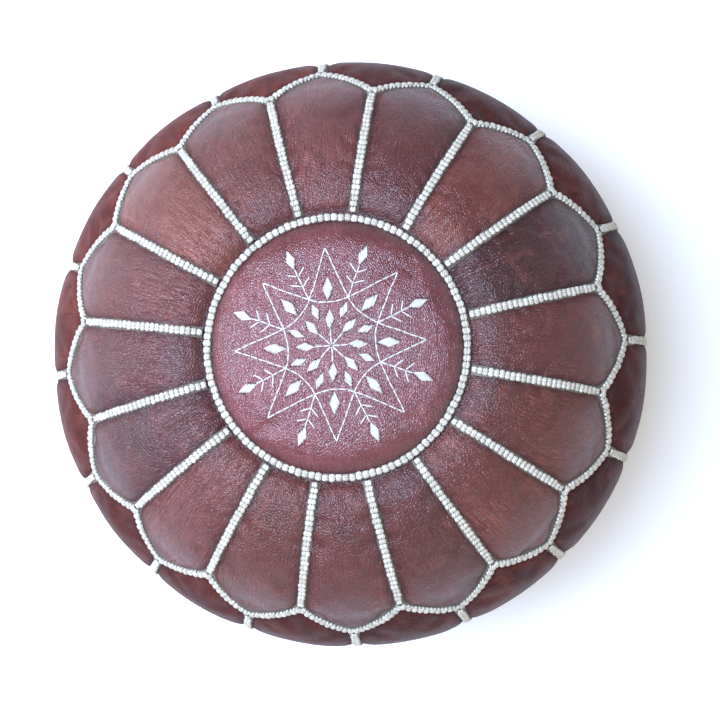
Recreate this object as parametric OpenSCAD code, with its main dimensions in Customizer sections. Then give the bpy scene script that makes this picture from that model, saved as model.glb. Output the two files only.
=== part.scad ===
// A round leather pouf. Sixteen top petals are sewn round a medallion, sixteen side panels
// sit half a pitch over, and sixteen bottom petals run in to a disc that a zip closes.
// Millimetres, +Z up, origin on the floor under the centre.

/* [Body] */
// Diameter over the leather at the widest level
body_d = 533; // [444:1:640]
// Height over the leather
body_h = 330; // [275:1:396]
// Height of the widest level
belly_z = 165; // [137:1:198]
// Squareness of the upper half, where 2 is an ellipse
crown_n = 2.3; // [2:0.1:2.8]
// How far the flat ring it stands on lies in from the widest level
foot_in = 81.5; // [65:0.5:84]
// Thickness of the leather
leather_t = 1.5; // [1:0.1:2.5]

/* [Panels] */
// Radius of the medallion seam on the top
ring_r = 109; // [90:1:130]
// Depth of the dip that the medallion seam pulls into the top
ring_dip = 10; // [4:0.5:14]
// How far out the dip reaches
ring_dip_w = 15; // [10:1:20]
// How far the junctions of three panels on the top lie in from the widest level
top_junction_in = 38.5; // [30:0.5:50]
// How far the petal points on the top lie in from the widest level
top_point_in = 17.5; // [14:0.5:22]
// How far the junctions on the underside lie in from the widest level
bottom_junction_in = 24.5; // [20:0.5:30]
// How far the petal points on the underside lie in from the widest level
bottom_point_in = 9.5; // [7.5:0.5:12]
// Bulge of each half of a petal's pointed edge
edge_bulge = 5; // [2:0.5:8]
// How far the hand-cut seams creep round the pouf, in degrees
hand_creep = 1.8; // [0:0.1:2.5]
// Gap between neighbouring pieces
seam_gap = 0.3; // [0.2:0.05:0.6]

/* [Braids] */
// Width of the braid on the radial seams and on the side seams
braid_w = 8.5; // [5:0.5:11]
// Width of the braid along the pointed edges
edge_braid_w = 6.5; // [4:0.5:9]
// Width of the braid round the medallion
ring_braid_w = 7.5; // [5:0.5:10]
// How far the braids stand out of the leather
braid_t = 3.2; // [2:0.1:4]

/* [Underside] */
// Radius of the bottom disc
disc_r = 120; // [108:1:130]
// Height of the bottom disc's underside over the floor
disc_z = 8.5; // [8:0.5:12]
// Width of the slot between the halves of the disc
slot_w = 14; // [12.5:0.5:18]
// How far each end of the slot stops short of the disc's edge
slot_in = 18; // [14:1:40]
// Width of one zip tape
tape_w = 15; // [12:0.5:20]
// Thickness of the zip tapes
tape_t = 0.6; // [0.4:0.1:0.8]
// Distance from one tooth to the next in a row
tooth_pitch = 2.6; // [2.2:0.1:3.2]
// Length of one tooth across the zip
tooth_l = 2.4; // [2:0.1:3]
// Height of the teeth
tooth_h = 2.4; // [1.8:0.1:2.8]
// Clear channel between the rows, where the slider's post runs
tooth_gap = 1.2; // [1:0.1:1.6]
// Length of the slider's body
slider_l = 12; // [9:0.5:14]
// Thickness of each slider plate
plate_t = 1; // [0.8:0.1:1.3]
// Radius of the pull's cross bar
bar_r = 0.85; // [0.7:0.05:1]
// Length of the pull from its cross bar to its tip
pull_l = 24; // [16:1:28]
// Width of the pull
pull_w = 7.4; // [6.5:0.1:9]

/* [Hidden] */
$fn = 96;
PETALS = 16;
PITCH = 360 / PETALS;
// Straight steps along half a petal's edge, along a stretch of the side profile and in its dip
EDGE_STEPS = 6;
PROFILE_STEPS = 8;
DIP_STEPS = 8;
body_r = body_d / 2;
crown_h = body_h - belly_z;
foot_h = belly_z;
foot_r = body_r - foot_in;
top_junction_r = body_r - top_junction_in;
top_point_r = body_r - top_point_in;
bottom_junction_r = body_r - bottom_junction_in;
bottom_point_r = body_r - bottom_point_in;
dip_in_r = ring_r - 2.4 * ring_dip_w;
dip_out_r = ring_r + 2.4 * ring_dip_w;
// Width of the roll from the flat ring up to the bottom disc
roll_w = 18;
roll_r = disc_r + roll_w;
// The zip's centre plane lies just over the bottom disc, its tapes sewn on inside
zip_z = disc_z + leather_t + seam_gap + tape_t / 2;
// Clearance round what the slider runs on, and round the tapes' inner edges
run_gap = 0.35;
tape_clear = 0.1;
slider_h = tooth_h + 2 * run_gap + 2 * plate_t;
zip_top = zip_z + slider_h / 2;
// Side walls of the slider, and their clearance beside the teeth
flange_t = 0.8;
flange_clear = 0.7;
slider_w = 2 * (tooth_gap / 2 + tooth_l + flange_clear + flange_t);
// The post that joins the plates, with its clearance on each side
post_clear = 0.2;
post_w = tooth_gap - 2 * post_clear;
post_l = 2;
// Share of the pitch that a tooth fills, and length of the end stops
tooth_fill = 0.42;
tooth_t = tooth_pitch * tooth_fill;
stop_l = 2;
slot_l = 2 * (disc_r - slot_in);
// How far the tapes run on past the slot
tape_over = 6;
// Clearance of the cross bar in its bore, wall round that bore, and size of the crown
bar_gap = 0.06;
crown_wall = 0.75;
crown_w = 2.4;
crown_r = bar_r + bar_gap + crown_wall;
// Rounded ends of the pull's arms, and the bar's height that keeps them off the slider
eye_wall = 0.35;
eye_clear = 0.25;
eye_r = bar_r + eye_wall;
bar_z = zip_z - slider_h / 2 - eye_r - eye_clear;
pull_t = 1.3;
pull_clear = 0.15;
window_l = 3.6;
// Slider's place when the zip is closed; it travels as far the other side of the middle
rest_clear = 2;
rest_x = slot_l / 2 - stop_l - rest_clear - slider_l / 2;
// Step from the roll's inner edge to the room over the zip
filling_step = 4;
// The seam braids stop this far from the ring braid, because in the dip they lean towards it
braid_end_gap = 1.2;
// The underside's braids stop here, just before they would meet the floor
braid_floor_gap = 1;
braid_end_z = braid_t + seam_gap + braid_floor_gap;
braid_end_r = foot_r + foot_in * cos(asin((belly_z - braid_end_z) / foot_h));

function num(k) = str(k < 9 ? "0" : "", k + 1);

// Half the angle that the gap between two panels takes at the medallion seam
gap_a = asin(seam_gap / 2 / ring_r);
// Where the creep of the seams starts, in degrees
CREEP_START = 60;

function seam_a(k) = PITCH * (k - 0.5) + hand_creep * sin(PITCH * k - CREEP_START);
function point_a(k) = (seam_a(k) + seam_a(k + 1)) / 2;
function polar(r, a) = [r * cos(a), r * sin(a)];
function after_first(list) = [for (i = [1:1:len(list) - 1]) list[i]];
function backwards(list) = [for (i = [len(list) - 1:-1:0]) list[i]];

// Side profile of the upper half: a squarish ellipse with a dip at the medallion seam
function dip(r) = ring_dip * exp(-pow((r - ring_r) / ring_dip_w, 2));
function crown_t(r) = acos(pow(r / body_r, crown_n / 2));
function crown_pt(t) =
    let (r = body_r * pow(cos(t), 2 / crown_n))
    [r, belly_z + crown_h * pow(sin(t), 2 / crown_n) - dip(r)];
function crown_path(r0, r1, steps) =
    let (t0 = crown_t(r0), t1 = crown_t(r1))
    [for (i = [0:steps]) crown_pt(t0 + (t1 - t0) * i / steps)];

// Side profile of the lower half: an ellipse down to the flat ring, then a roll up to the disc
function foot_t(r) = acos((r - foot_r) / foot_in);
function foot_pt(t) = [foot_r + foot_in * cos(t), belly_z - foot_h * sin(t)];
function foot_path(r0, r1, steps) =
    let (t0 = foot_t(r0), t1 = foot_t(r1))
    [for (i = [0:steps]) foot_pt(t0 + (t1 - t0) * i / steps)];
function roll_path(steps) =
    [for (i = [0:steps]) let (t = i / steps)
        [roll_r - (roll_r - disc_r - seam_gap) * t, disc_z * (1 - cos(90 * t))]];

// Outward normal of a path that runs out from the top and in along the floor
function normal_at(p, i) =
    p[i][0] == 0 ? [0, 1]
    : let (d = p[min(i + 1, len(p) - 1)] - p[max(i - 1, 0)]) [-d[1], d[0]] / norm(d);
function moved_out(p, by) = [for (i = [0:len(p) - 1]) p[i] + by * normal_at(p, i)];
function layer(p, inner, outer) = concat(moved_out(p, outer), backwards(moved_out(p, inner)));

DOME_PATH = concat(crown_path(0, dip_in_r, DIP_STEPS),
    after_first(crown_path(dip_in_r, ring_r - seam_gap / 2, DIP_STEPS)));
PETAL_PATH = concat(crown_path(ring_r + seam_gap / 2, dip_out_r, DIP_STEPS),
    after_first(crown_path(dip_out_r, body_r, PROFILE_STEPS)));
SIDE_PATH = concat(crown_path(top_junction_r - edge_braid_w, body_r, PROFILE_STEPS),
    after_first(foot_path(body_r, bottom_junction_r - edge_braid_w, PROFILE_STEPS)));
FOOT_PATH = concat(foot_path(body_r, foot_r, PROFILE_STEPS), roll_path(DIP_STEPS));

module turned(outline, a0, a1) {
    rotate([0, 0, a0]) rotate_extrude(angle = a1 - a0) polygon(outline);
}

// One half of a petal's pointed edge, from a junction to a point or back, bulging outwards
function half_edge(from, to) =
    let (d = to - from, out = [d[1], -d[0]] / norm(d))
    [for (i = [0:EDGE_STEPS]) let (t = i / EDGE_STEPS)
        from + t * d + 4 * edge_bulge * t * (1 - t) * out];
function petal_edge(k, junction_r, point_r) = concat(
    half_edge(polar(junction_r, seam_a(k)), polar(point_r, point_a(k))),
    after_first(half_edge(polar(point_r, point_a(k)), polar(junction_r, seam_a(k + 1)))));
function grown(line, by) = [for (p = line) p * (1 + by / norm(p))];

// Upright block under a petal's outline in plan, grown past its edge
module petal_block(k, junction_r, point_r, by) {
    linear_extrude(body_h * 1.5)
        polygon(concat([[0, 0]], grown(petal_edge(k, junction_r, point_r), by)));
}

module top_petal(k) {
    color("#8a5a58") intersection() {
        turned(layer(PETAL_PATH, -leather_t, 0), seam_a(k) + gap_a, seam_a(k + 1) - gap_a);
        petal_block(k, top_junction_r, top_point_r, -seam_gap / 2);
    }
}

module bottom_petal(k) {
    color("#6b4341") intersection() {
        turned(layer(FOOT_PATH, -leather_t, 0), seam_a(k) + gap_a, seam_a(k + 1) - gap_a);
        translate([0, 0, -body_h / 2])
            petal_block(k, bottom_junction_r, bottom_point_r, -seam_gap / 2);
    }
}

module side_panel(k) {
    color("#5e3533") difference() {
        turned(layer(SIDE_PATH, -leather_t, 0), point_a(k - 1) + gap_a, point_a(k) - gap_a);
        for (side = [k - 1, k]) {
            translate([0, 0, belly_z])
                petal_block(side, top_junction_r, top_point_r, seam_gap / 2);
            translate([0, 0, belly_z - body_h * 1.5])
                petal_block(side, bottom_junction_r, bottom_point_r, seam_gap / 2);
        }
    }
}

module top_medallion() {
    color("#946c78") rotate_extrude() polygon(layer(DOME_PATH, -leather_t, 0));
}

module bottom_disc_half(side) {
    color("#6b4341") difference() {
        translate([0, 0, disc_z]) cylinder(r = disc_r - seam_gap / 2, h = leather_t);
        translate([-body_r, side > 0 ? seam_gap / 2 - body_d : -seam_gap / 2, 0])
            cube([body_d, body_d, body_h]);
        translate([-slot_l / 2, -slot_w / 2, 0]) cube([slot_l, slot_w, body_h]);
    }
}

// The stuffing fills the leather and leaves room for the zip over the bottom disc
module filling() {
    inside = -leather_t - seam_gap;
    color("#d8d0bd") rotate_extrude() polygon(concat(
        moved_out(concat(DOME_PATH, PETAL_PATH), inside),
        after_first(moved_out(FOOT_PATH, inside)),
        [[disc_r - filling_step, zip_top + seam_gap], [0, zip_top + seam_gap]]));
}

// Share of a braid's width that shows in plan where a path slopes at its middle
function plan_share(path) = abs(path[1][0] - path[0][0]) / norm(path[1] - path[0]);

module edge_braid(k, path, junction_r, point_r, share) {
    half = edge_braid_w / 2 * share;
    line = petal_edge(k, junction_r, point_r);
    intersection() {
        turned(layer(path, seam_gap, seam_gap + braid_t), seam_a(k) + gap_a, seam_a(k + 1) - gap_a);
        translate([0, 0, -body_h / 2]) linear_extrude(body_h * 2)
            polygon(concat(grown(line, half), backwards(grown(line, -half))));
    }
}

module seam_braid(k, path) {
    intersection() {
        turned(layer(path, seam_gap, seam_gap + braid_t), seam_a(k) - PITCH / 4, seam_a(k) + PITCH / 4);
        rotate([0, 0, seam_a(k)]) translate([0, -braid_w / 2, -body_h / 2])
            cube([body_d, braid_w, body_h * 2]);
    }
}

module top_ring_braid() {
    path = crown_path(ring_r - ring_braid_w / 2, ring_r + ring_braid_w / 2, 4);
    color("#e6e6e0") rotate_extrude() polygon(layer(path, seam_gap, seam_gap + braid_t));
}

module top_petal_braids() {
    share = plan_share(crown_path(top_junction_r, top_point_r, 1));
    edge_path = crown_path(top_junction_r - edge_braid_w, top_point_r + edge_braid_w, 6);
    seam_path = concat(
        crown_path(ring_r + ring_braid_w / 2 + braid_end_gap, dip_out_r, DIP_STEPS),
        after_first(crown_path(dip_out_r,
            top_junction_r - edge_braid_w / 2 * share - seam_gap, PROFILE_STEPS)));
    color("#e6e6e0") for (k = [0:PETALS - 1]) {
        edge_braid(k, edge_path, top_junction_r, top_point_r, share);
        seam_braid(k, seam_path);
    }
}

module bottom_braids() {
    share = plan_share(foot_path(bottom_point_r, bottom_junction_r, 1));
    edge_path = foot_path(bottom_point_r + edge_braid_w * share,
        bottom_junction_r - edge_braid_w, 6);
    seam_path = foot_path(bottom_junction_r - edge_braid_w / 2 * share - seam_gap,
        braid_end_r, DIP_STEPS);
    color("#e6e6e0") for (k = [0:PETALS - 1]) {
        edge_braid(k, edge_path, bottom_junction_r, bottom_point_r, share);
        seam_braid(k, seam_path);
    }
}

module side_braids() {
    top_share = plan_share(crown_path(top_junction_r, top_point_r, 1));
    bottom_share = plan_share(foot_path(bottom_point_r, bottom_junction_r, 1));
    path = concat(
        crown_path(top_point_r + edge_braid_w / 2 * top_share + seam_gap, body_r, PROFILE_STEPS),
        after_first(foot_path(body_r,
            bottom_point_r + edge_braid_w / 2 * bottom_share + seam_gap, PROFILE_STEPS)));
    half_a = asin(braid_w / 2 / body_r);
    color("#dcdbd2") for (k = [0:PETALS - 1])
        turned(layer(path, seam_gap, seam_gap + braid_t), point_a(k) - half_a, point_a(k) + half_a);
}

module zip_tapes() {
    inner = tooth_gap / 2 + tooth_l + tape_clear;
    color("#3a2a26") for (side = [0, 1]) mirror([0, side, 0])
        translate([-slot_l / 2 - tape_over, inner, zip_z - tape_t / 2])
            cube([slot_l + 2 * tape_over, tape_w, tape_t]);
}

module zip_teeth() {
    rows = floor((slot_l - 2 * stop_l) / tooth_pitch) - 1;
    first = -(rows - 1) * tooth_pitch / 2;
    color("#b08d4a") for (side = [0, 1]) mirror([0, side, 0]) {
        for (i = [0:rows - 1])
            translate([first + (i + side / 2) * tooth_pitch - tooth_t / 2, tooth_gap / 2,
                zip_z - tooth_h / 2])
                cube([tooth_t, tooth_l, tooth_h]);
        for (end = [0, 1]) mirror([end, 0, 0])
            translate([slot_l / 2 - stop_l, tooth_gap / 2, zip_z - tooth_h / 2])
                cube([stop_l, tooth_l, tooth_h]);
    }
}

// Two plates joined by the post at the leading end, with a crown below that holds the pull
module zip_slider() {
    color("#b9964e") translate([rest_x, 0, 0]) difference() {
        union() {
            for (end = [0, 1]) translate([0, 0, zip_z]) mirror([0, 0, end]) {
                translate([0, 0, slider_h / 2 - plate_t]) slider_plate();
                for (side = [0, 1]) mirror([0, side, 0])
                    translate([-slider_l / 2 + plate_t, slider_w / 2 - flange_t,
                        tape_t / 2 + run_gap])
                        cube([slider_l / 2, flange_t, slider_h / 2 - tape_t / 2 - run_gap]);
            }
            translate([slider_l / 2 - post_l - plate_t, -post_w / 2, zip_z - slider_h / 2])
                cube([post_l, post_w, slider_h]);
            rotate([90, 0, 0]) translate([0, bar_z, -crown_w / 2]) cylinder(r = crown_r, h = crown_w);
            translate([-crown_r, -crown_w / 2, bar_z])
                cube([2 * crown_r, crown_w, zip_z - slider_h / 2 - bar_z + plate_t / 2]);
        }
        rotate([90, 0, 0]) translate([0, bar_z, -crown_w]) cylinder(r = bar_r + bar_gap, h = 2 * crown_w);
    }
}

module slider_plate() {
    linear_extrude(plate_t) intersection() {
        square([slider_l, slider_w], center = true);
        circle(r = norm([slider_l, slider_w]) / 2 - plate_t);
    }
}

// The pull's cross bar turns in the crown; its tab lies flat under the zip
module zip_pull() {
    arm_in = crown_w / 2 + pull_clear;
    color("#c6a35c") translate([rest_x, 0, bar_z]) {
        rotate([90, 0, 0]) translate([0, 0, -arm_in]) cylinder(r = bar_r, h = 2 * arm_in);
        for (side = [0, 1]) mirror([0, side, 0]) translate([0, arm_in, 0]) {
            rotate([-90, 0, 0]) cylinder(r = eye_r, h = pull_w / 2 - arm_in);
            translate([-window_l, 0, -pull_t / 2]) cube([window_l, pull_w / 2 - arm_in, pull_t]);
        }
        translate([-pull_l, 0, -pull_t / 2]) linear_extrude(pull_t) difference() {
            union() {
                translate([pull_w / 2, 0]) circle(d = pull_w);
                translate([pull_w / 2, -pull_w / 2])
                    square([pull_l - window_l - pull_w / 2, pull_w]);
            }
            translate([pull_w / 2, 0]) circle(d = pull_w / 2.4);
        }
    }
}

for (k = [0:PETALS - 1]) {
    top_petal(k);
    side_panel(k);
    bottom_petal(k);
}
top_medallion();
bottom_disc_half(1);  // bottom_disc_left
bottom_disc_half(-1);  // bottom_disc_right
filling();
top_ring_braid();
top_petal_braids();
side_braids();
bottom_braids();
zip_tapes();
zip_teeth();
zip_slider();
zip_pull();
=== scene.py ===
# %% [markdown]
# # A Moroccan leather pouf
#
# The pouf is a bag of goat leather, packed hard with cotton. Sixteen petals are sewn round an
# embroidered medallion, sixteen side panels sit half a pitch over, and the underside mirrors
# the top and closes with a zip. Every seam that shows is covered by a thick cotton braid.
#
# The CAD model holds the sizes, the seams and the zip. This lesson builds what the eye sees:
# leather that pillows between its seams, braids made of single stitches, and the finishes.

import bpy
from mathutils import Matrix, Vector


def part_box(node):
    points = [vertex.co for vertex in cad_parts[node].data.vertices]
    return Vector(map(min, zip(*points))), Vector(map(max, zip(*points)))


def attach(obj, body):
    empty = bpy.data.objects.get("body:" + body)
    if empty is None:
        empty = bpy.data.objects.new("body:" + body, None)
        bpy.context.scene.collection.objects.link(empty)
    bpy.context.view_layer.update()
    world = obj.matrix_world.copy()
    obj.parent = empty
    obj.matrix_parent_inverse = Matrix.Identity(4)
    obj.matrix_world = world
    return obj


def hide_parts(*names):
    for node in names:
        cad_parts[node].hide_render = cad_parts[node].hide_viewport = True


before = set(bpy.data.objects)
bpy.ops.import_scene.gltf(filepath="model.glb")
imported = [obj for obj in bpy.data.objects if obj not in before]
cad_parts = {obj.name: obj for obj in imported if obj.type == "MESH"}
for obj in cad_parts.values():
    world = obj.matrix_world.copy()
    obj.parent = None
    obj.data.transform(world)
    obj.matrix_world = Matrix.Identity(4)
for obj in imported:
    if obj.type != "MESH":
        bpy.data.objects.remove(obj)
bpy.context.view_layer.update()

# %% Modules, the scene, and the seed of every random draw
import math
import random

import bpy
import numpy as np
from mathutils import Matrix, Vector, noise
from mathutils.bvhtree import BVHTree

random.seed(16)
scene = bpy.context.scene
mm = 0.001

# %% [markdown]
# ## The camera
#
# The pouf is seen from almost straight above, with the eye a hand's breadth to the right and
# a little to the front. The camera is placed first, so that each later step can be looked at.
# It is turned a few degrees about the upright, to face the pattern the way the maker laid it.

# %% Camera
TURN = Matrix.Rotation(math.radians(-3.35), 3, "Z")
EYE = TURN @ Vector((0.0941, -0.0491, 1.465))
AIM = TURN @ Vector((0.0126, -0.0072, 0.200))
FOCAL_LENGTH = 69.45
SENSOR_WIDTH = 36

camera_data = bpy.data.cameras.new("camera")
camera_data.sensor_width = SENSOR_WIDTH
camera_data.lens = FOCAL_LENGTH
camera = bpy.data.objects.new("camera", camera_data)
scene.collection.objects.link(camera)
back = (EYE - AIM).normalized()
right = (TURN @ Vector((0, 1, 0))).cross(back).normalized()
camera_turn = Matrix((right, back.cross(right), back)).transposed().to_4x4()
camera.matrix_world = Matrix.Translation(EYE) @ camera_turn
scene.camera = camera
print("camera", [round(v, 3) for v in EYE])

# %% [markdown]
# ## Where the seams run
#
# A pouf is cut from paper patterns, so its seams are the first thing to settle. They are read
# from the CAD panels: each petal's two sides, its pointed outer edge, and the rings where the
# petals start. All the sewn pieces below then follow the same lines.

# %% Read the seams from the CAD panels
PETALS = 16
PITCH = 2 * math.pi / PETALS


def polar_of(node, near):
    """Radius, angle and height of a node's points, with the angles unwrapped round one angle."""
    points = np.array([v.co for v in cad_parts[node].data.vertices])
    angle = np.arctan2(points[:, 1], points[:, 0]) - near
    angle = (angle + np.pi) % (2 * np.pi) - np.pi + near
    return np.hypot(points[:, 0], points[:, 1]), angle, points[:, 2]


seam_before, seam_after = [], []
reach = {"top": [], "bottom": []}
for k in range(PETALS):
    for level in reach:
        r, a, z = polar_of(f"{level}_petal_{k + 1:02d}", k * PITCH)
        at_seam = a < a.min() + math.radians(0.1)
        reach[level].append((r.min(), r[at_seam].max(), r.max()))
    seam_before.append(a.min())
    seam_after.append(a.max())
# A seam lies midway between one petal's start and the end of the petal before it
seam_angle = [(seam_before[k] + seam_after[k - 1] - (0 if k else 2 * math.pi)) / 2 for k in range(PETALS)]
seam_angle.append(seam_angle[0] + 2 * math.pi)
point_angle = [(seam_angle[k] + seam_angle[k + 1]) / 2 for k in range(PETALS)]
RING_R, TOP_JUNCTION_R, TOP_POINT_R = np.mean(reach["top"], axis=0)
DISC_R, FOOT_JUNCTION_R, FOOT_POINT_R = np.mean(reach["bottom"], axis=0)
print("seams at", [round(math.degrees(a), 1) for a in seam_angle])
print("ring", round(RING_R, 4), "junctions", round(TOP_JUNCTION_R, 4), "points", round(TOP_POINT_R, 4))

# %% Read the side profile from the CAD panels
BODY_R = polar_of("side_panel_01", 0)[0].max()
TOP_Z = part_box("top_medallion")[1].z
BELLY_Z = TOP_Z / 2
DISC_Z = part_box("bottom_disc_left")[0].z
r, a, z = polar_of("bottom_petal_01", 0)
FLOOR_RING = (r[z < 0.1 * mm].min(), r[z < 0.1 * mm].max())
CROWN_SQUARENESS = 2.3
RING_DIP, RING_DIP_W = 10 * mm, 15 * mm
EDGE_BULGE = 3.4 * mm


def crown_line(steps):
    """The upper half's profile from the middle of the top to the belly: a squarish ellipse with a dip."""
    t = np.linspace(np.pi / 2, 0, steps)
    r = BODY_R * np.cos(t) ** (2 / CROWN_SQUARENESS)
    dip = RING_DIP * np.exp(-(((r - RING_R) / RING_DIP_W) ** 2))
    return np.column_stack([r, BELLY_Z + (TOP_Z - BELLY_Z) * np.sin(t) ** (2 / CROWN_SQUARENESS) - dip])


def foot_line(steps):
    """The lower half's profile: an ellipse, the flat ring on the floor, and the roll up to the disc."""
    t = np.linspace(0, np.pi / 2, steps)
    flat_in, flat_out = FLOOR_RING
    belly = np.column_stack([flat_out + (BODY_R - flat_out) * np.cos(t), BELLY_Z * (1 - np.sin(t))])
    flat = np.linspace([flat_out, 0], [flat_in, 0], steps // 4)[1:]
    u = np.linspace(0, 1, steps // 6)[1:]
    roll = np.column_stack([flat_in + (DISC_R - flat_in) * u, DISC_Z * (1 - np.cos(u * np.pi / 2))])
    return np.concatenate([belly, flat, roll])


crown, foot = crown_line(400), foot_line(240)
profile = np.concatenate([crown, foot[1:]])
steps = np.hypot(*np.diff(profile, axis=0).T)
run = np.concatenate([[0], np.cumsum(steps)])


def run_at_crown(r):
    return np.interp(r, crown[:, 0], run[: len(crown)])


def run_at_foot(r):
    return np.interp(-r, -foot[:, 0], run[len(crown) - 1:])


def on_profile(s):
    """Radius, height and outward normal at a distance along the profile."""
    at = [np.stack([np.interp(s + d, run, profile[:, i]) for i in (0, 1)]) for d in (-2 * mm, 0, 2 * mm)]
    along = at[2] - at[0]
    along /= np.hypot(*along)
    return at[1][0], at[1][1], -along[1], along[0]


print("profile", round(run[-1], 3), "m from the middle of the top to the disc underneath")

# %% [markdown]
# ## The leather, as one stuffed skin
#
# On the bench the panels are sewn into one bag and the stuffing is rammed in, so every panel
# swells between seams that cannot stretch. It could be sculpted panel by panel, but then the
# swell would have to be guessed. Here the whole skin is one sheet whose rows and columns run
# along the seams. The seams are pinned a little below the surface, and a cloth simulation
# blows the leather up between them. The sheet is cut into its panels afterwards.

# %% Lay out the skin's columns and rows
HALF = 12
COLUMNS = 2 * HALF * PETALS
ROWS = {"petal": 34, "flank": 42, "base": 30}
START_INSET = 2.0 * mm
SEAM_SINK = 2.2 * mm
SIDE_SEAM_SINK = 0.8 * mm
SINK_WIDTH = 6 * mm
# Years of sitting have pressed the sides out, more to the left and right than to front and back
EASE_ACROSS = 8 * mm
EASE_ALONG = 2.5 * mm


def edge_radius(share, junction_r, point_r):
    """Radius of a petal's pointed edge, share of the way from a junction (0) to the point (1)."""
    start = np.array([junction_r, 0])
    end = np.array([point_r * math.cos(PITCH / 2), point_r * math.sin(PITCH / 2)])
    way = end - start
    out = np.array([way[1], -way[0]]) / np.hypot(*way)
    return np.hypot(*(start + share * way + 4 * EDGE_BULGE * share * (1 - share) * out))


column_angle, top_edge, foot_edge = np.zeros(COLUMNS), np.zeros(COLUMNS), np.zeros(COLUMNS)
for c in range(COLUMNS):
    k, i = divmod(c, 2 * HALF)
    share = i / HALF if i <= HALF else 2 - i / HALF
    seam = seam_angle[k] if i <= HALF else seam_angle[k + 1]
    column_angle[c] = seam + share * (point_angle[k] - seam)
    top_edge[c] = edge_radius(share, TOP_JUNCTION_R, TOP_POINT_R)
    foot_edge[c] = edge_radius(share, FOOT_JUNCTION_R, FOOT_POINT_R)

lines = [np.full(COLUMNS, run_at_crown(RING_R)), run_at_crown(top_edge), run_at_foot(foot_edge),
         np.full(COLUMNS, run[-1])]
row_run = [lines[0]]
for n, (start, end) in zip(ROWS.values(), zip(lines, lines[1:])):
    row_run += [start + (end - start) * j / n for j in range(1, n + 1)]
row_run = np.array(row_run)
EDGE_ROW, FOOT_ROW, LAST_ROW = np.cumsum(list(ROWS.values()))
print("skin of", row_run.shape[0], "rows and", COLUMNS, "columns")

# %% How far each point of the skin lies from its nearest seams
radius, height, out_r, out_z = on_profile(row_run)
row = np.arange(row_run.shape[0])[:, None]
near_seam, near_point = np.zeros(COLUMNS), np.zeros(COLUMNS)
for c in range(COLUMNS):
    near_seam[c] = np.min(np.abs(column_angle[c] - np.array(seam_angle)))
    middle = np.array(point_angle + [point_angle[0] + 2 * math.pi, point_angle[-1] - 2 * math.pi])
    near_point[c] = np.min(np.abs(column_angle[c] - middle))
in_flank = (row > EDGE_ROW) & (row < FOOT_ROW)
beside = np.where(in_flank, near_point, near_seam) * radius
beside = np.where((row == EDGE_ROW) | (row == FOOT_ROW), 0, beside)
endways = np.min([np.abs(row_run - line) for line in lines], axis=0)
seam_distance = np.minimum(beside, endways)
pinned = seam_distance < 1e-7

seam_sink = np.where(in_flank & (beside < endways), SIDE_SEAM_SINK, SEAM_SINK)
sunk = START_INSET + seam_sink * np.exp(-((seam_distance / SINK_WIDTH) ** 2))
cosine, sine = np.cos(column_angle), np.sin(column_angle)
waist = np.clip((row - EDGE_ROW) / (FOOT_ROW - EDGE_ROW), 0, 1)
ease = np.sin(waist * np.pi) * (EASE_ACROSS * cosine ** 2 + EASE_ALONG * sine ** 2)
normals = np.stack([out_r * cosine, out_r * sine, out_z], axis=-1)
plain = np.stack([radius * cosine, radius * sine, height], axis=-1) + normals * ease[..., None]
skin_points = plain - normals * sunk[..., None]
print("pinned", int(pinned.sum()), "of", pinned.size, "points on the seams")

# %% Make a mesh of a block of rows and columns
def grid_faces(rows, columns, closed):
    across = columns if closed else columns - 1
    j, i = np.meshgrid(np.arange(rows - 1), np.arange(across), indexing="ij")
    a, b = j * columns + i, j * columns + (i + 1) % columns
    return np.stack([a, a + columns, b + columns, b], axis=-1).reshape(-1, 4)


def new_mesh(name, points, faces):
    mesh = bpy.data.meshes.new(name)
    mesh.from_pydata(np.asarray(points).reshape(-1, 3).tolist(), [], np.asarray(faces).tolist())
    mesh.validate()
    piece = bpy.data.objects.new(name, mesh)
    scene.collection.objects.link(piece)
    return piece


def points_of(piece):
    evaluated = piece.evaluated_get(bpy.context.evaluated_depsgraph_get()).data
    flat = np.zeros(len(evaluated.vertices) * 3, np.float32)
    evaluated.vertices.foreach_get("co", flat)
    return flat.reshape(-1, 3).astype(float)


# %% Blow the leather up between its seams
STUFFING_FRAMES = 20
SKIN_PRESSURE, SKIN_GROWTH, SKIN_MOST = 9.0, 0.03, 9 * mm
DOME_PRESSURE, DOME_GROWTH, DOME_MOST = 4.0, 0.02, 7 * mm


def stuff(piece, pinned_points, pressure, growth, most):
    """Cloth simulation with pressure; no point moves further than most from where it starts."""
    start = points_of(piece)
    group = piece.vertex_groups.new(name="seams")
    group.add([int(i) for i in np.flatnonzero(pinned_points)], 1.0, "REPLACE")
    cloth = piece.modifiers.new("stuffing pressure", "CLOTH")
    cloth.settings.quality = 5
    cloth.settings.mass = 0.3
    cloth.settings.tension_stiffness = 18
    cloth.settings.compression_stiffness = 12
    cloth.settings.shear_stiffness = 6
    cloth.settings.bending_stiffness = 1.0
    cloth.settings.air_damping = 3
    cloth.settings.use_pressure = True
    cloth.settings.uniform_pressure_force = pressure
    cloth.settings.shrink_min = -growth
    cloth.settings.vertex_group_mass = "seams"
    cloth.settings.effector_weights.gravity = 0
    cloth.collision_settings.use_collision = False
    cloth.point_cache.frame_start, cloth.point_cache.frame_end = 1, STUFFING_FRAMES
    for f in range(1, STUFFING_FRAMES + 1):
        scene.frame_set(f)
    swollen = points_of(piece)
    piece.modifiers.clear()
    moved = swollen - start
    length = np.linalg.norm(moved, axis=1)
    moved *= (most * np.tanh(length / most) / np.maximum(length, 1e-9))[:, None]
    print(piece.name, "swells", round(float(length.max()) / mm, 1), "mm at most before the cap,",
          round(float(length[~pinned_points].mean()) / mm, 1), "mm on average")
    return start + moved


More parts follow.
